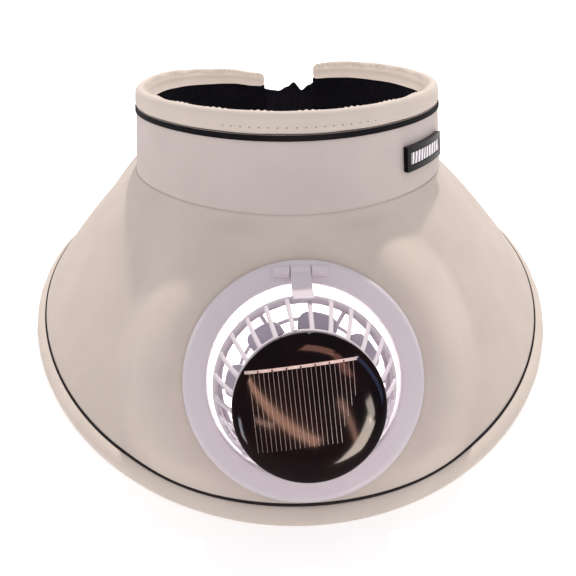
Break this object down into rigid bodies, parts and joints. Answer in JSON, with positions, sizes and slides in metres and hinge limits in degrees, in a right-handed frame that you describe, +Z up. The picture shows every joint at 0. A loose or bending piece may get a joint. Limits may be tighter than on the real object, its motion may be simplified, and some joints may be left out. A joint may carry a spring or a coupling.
{
  "type": "solar fan sun visor",
  "caption": "Open-top sun visor with a wide sloping cloth brim, a hinged caged fan in a round brim opening, a round solar panel on the fan and an elastic back.",
  "frame": {"origin": "middle of the bottom of the bounding box, on the surface that the brim rests on", "axes": "+X to the right of somebody who faces the visor, +Y to the back of the head, +Z up; the fan is at -Y"},
  "size_m": [0.2924, 0.2954, 0.1384],
  "materials": {
    "cloth": "fine plain weave, warm light grey",
    "binding": "smooth padded cloth roll",
    "black_trim": "flat black ribbon",
    "black_lining": "black towelling",
    "black_elastic": "gathered black elastic",
    "badge_frame": "black with a soft sheen",
    "badge_plate": "ridged silver",
    "white_plastic": "white moulded plastic",
    "solar_panel": "clear domed resin over dark cells",
    "motor": "plain can",
    "blades": "pale lilac grey"
  },
  "bodies": {
    "visor": {"brim": "cloth", "brim_binding": "binding", "brim_piping": "black_trim", "headband": "cloth", "band_piping": "black_trim", "top_binding": "binding", "sweatband": "black_lining", "back_elastic": "black_elastic", "badge_frame": "badge_frame", "badge_plate": "badge_plate", "fan_ring": "white_plastic", "clamp_ring": "white_plastic"},
    "fan_unit": {"fan_arm": "white_plastic", "fan_cage": "white_plastic", "solar_panel": "solar_panel", "motor": "motor", "rear_guard": "white_plastic"},
    "blades": {"fan_blades": "blades"}
  },
  "joints": [
    {"name": "fan_tilt", "type": "hinge", "parent": "visor", "child": "fan_unit", "pos_m": [0, -0.07375, 0.0831], "axis": [-1, 0, 0], "range_deg": [0, 75]},
    {"name": "blade_spin", "type": "hinge", "parent": "fan_unit", "child": "blades", "pos_m": [0, -0.11363, 0.05271], "axis": [0, -0.8623, 0.5064], "continuous": true}
  ]
}
